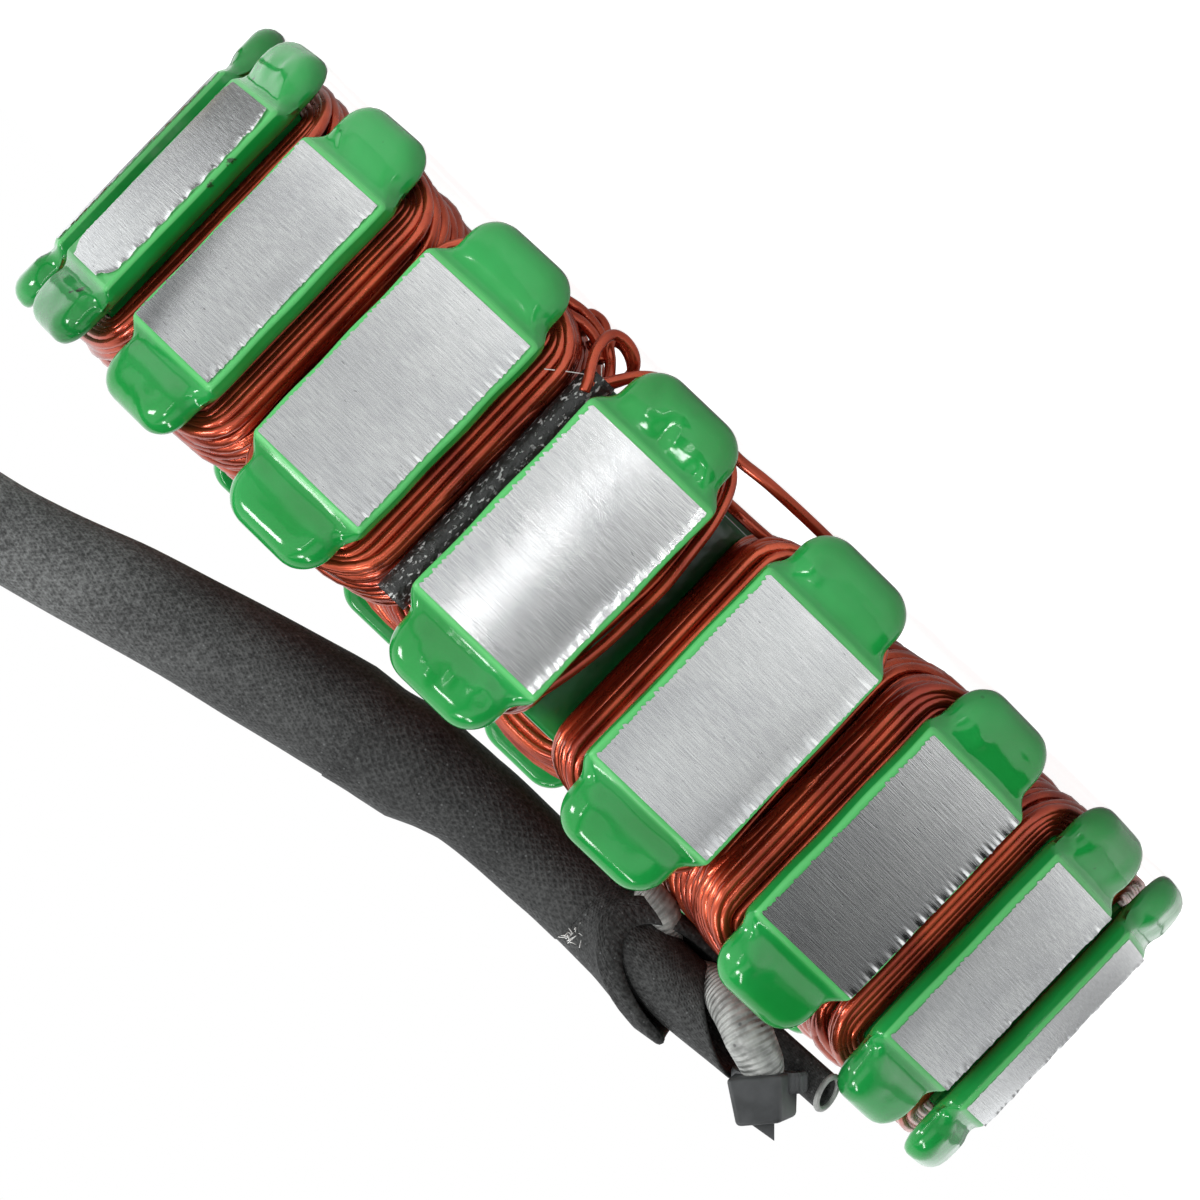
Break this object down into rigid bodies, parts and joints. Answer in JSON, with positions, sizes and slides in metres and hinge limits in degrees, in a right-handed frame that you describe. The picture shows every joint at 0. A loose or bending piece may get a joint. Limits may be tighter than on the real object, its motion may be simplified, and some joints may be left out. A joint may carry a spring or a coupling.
{
  "type": "wound stator",
  "caption": "Wound stator of an outer-rotor generator: coated lamination ring with bent tip tabs, a copper coil round each tooth, and a braided lead ending in a plug.",
  "frame": {"origin": "axis of the bore, at mid-height of the lamination stack", "axes": "+Z along the bore axis, towards the side on which the lead lies; +X through the middle of the first tooth, so +Y follows it round"},
  "size_m": [0.1802, 0.1893, 0.0511],
  "materials": {
    "bare_steel": "ground, with fine lines round the ring",
    "green_coat": "thick glossy powder coat",
    "enamelled_copper": "clear red-brown enamel, glossy",
    "black_braid": "woven, dull, with small glints",
    "glass_braid": "resin-soaked glass braid, slightly glossy",
    "tie_nylon": "matte",
    "wire_cover": "satin",
    "plug_nylon": "satin",
    "blade_brass": "tinned, satin"
  },
  "bodies": {
    "root": {"cable_tie": "tie_nylon", "coil_01": "enamelled_copper", "coil_02": "enamelled_copper", "coil_03": "enamelled_copper", "coil_04": "enamelled_copper", "coil_05": "enamelled_copper", "coil_06": "enamelled_copper", "coil_07": "enamelled_copper", "coil_08": "enamelled_copper", "coil_09": "enamelled_copper", "coil_10": "enamelled_copper", "coil_11": "enamelled_copper", "coil_12": "enamelled_copper", "coil_13": "enamelled_copper", "coil_14": "enamelled_copper", "coil_15": "enamelled_copper", "coil_16": "enamelled_copper", "coil_17": "enamelled_copper", "coil_18": "enamelled_copper", "crossover_wires": "enamelled_copper", "end_plate_lower": "green_coat", "end_plate_upper": "green_coat", "joint_cover": "black_braid", "joint_sleeve": "black_braid", "lamination_stack": "bare_steel", "lead_sleeve": "black_braid", "lead_wires": "wire_cover", "pale_sleeve": "glass_braid", "plug_blades": "blade_brass", "plug_housing": "plug_nylon", "slot_sleeve": "black_braid", "small_sleeve": "black_braid"}
  },
  "joints": []
}
